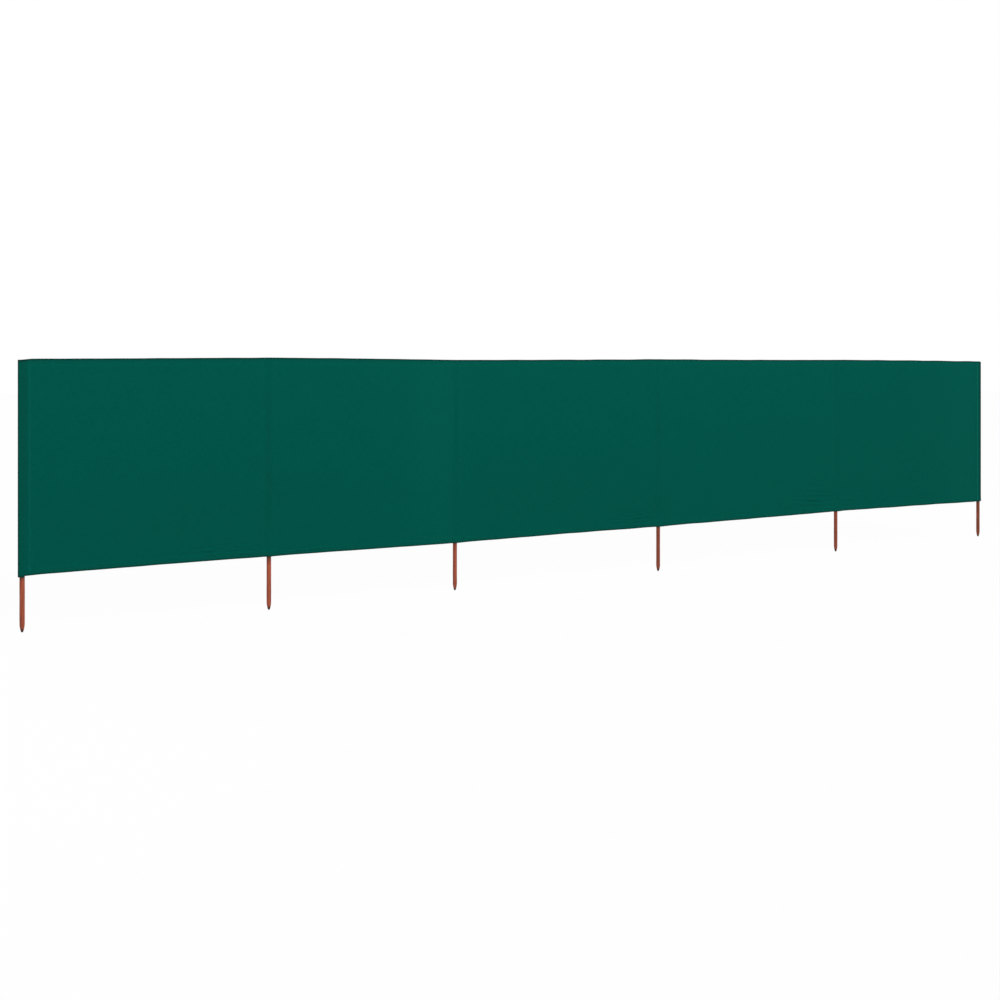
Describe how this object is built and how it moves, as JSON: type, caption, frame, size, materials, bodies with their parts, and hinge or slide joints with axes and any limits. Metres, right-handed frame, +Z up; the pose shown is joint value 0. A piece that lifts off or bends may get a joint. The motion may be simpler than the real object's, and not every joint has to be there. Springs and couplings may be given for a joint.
{
  "type": "beach windbreak",
  "caption": "Long dark green cloth windbreak in flat bays on round wooden poles, which stand in sewn pockets and taper to blunt points for pushing into sand.",
  "frame": {"origin": "centre of the blunt lower end of the first pole", "axes": "+X along the row from the first pole to the last, +Y to the back, where the pockets are, +Z up the poles; the front of the cloth faces -Y"},
  "size_m": [5.9704, 0.087, 1.2],
  "materials": {
    "wood": "stained round hardwood, matt, darker at the blunt points",
    "cloth": "plain woven cloth, matt",
    "pocket": "plain woven cloth, sewn strip",
    "hem": "plain woven cloth, folded and sewn"
  },
  "bodies": {
    "root": {"pole_1": "wood", "pole_2": "wood", "pole_3": "wood", "pole_4": "wood", "pole_5": "wood", "pole_6": "wood", "cloth_bay_1": "cloth", "cloth_bay_2": "cloth", "cloth_bay_3": "cloth", "cloth_bay_4": "cloth", "cloth_bay_5": "cloth", "pocket_1": "pocket", "pocket_2": "pocket", "pocket_3": "pocket", "pocket_4": "pocket", "pocket_5": "pocket", "pocket_6": "pocket", "top_hem_1": "hem", "top_hem_2": "hem", "top_hem_3": "hem", "top_hem_4": "hem", "top_hem_5": "hem", "bottom_hem_1": "hem", "bottom_hem_2": "hem", "bottom_hem_3": "hem", "bottom_hem_4": "hem", "bottom_hem_5": "hem"}
  },
  "joints": []
}
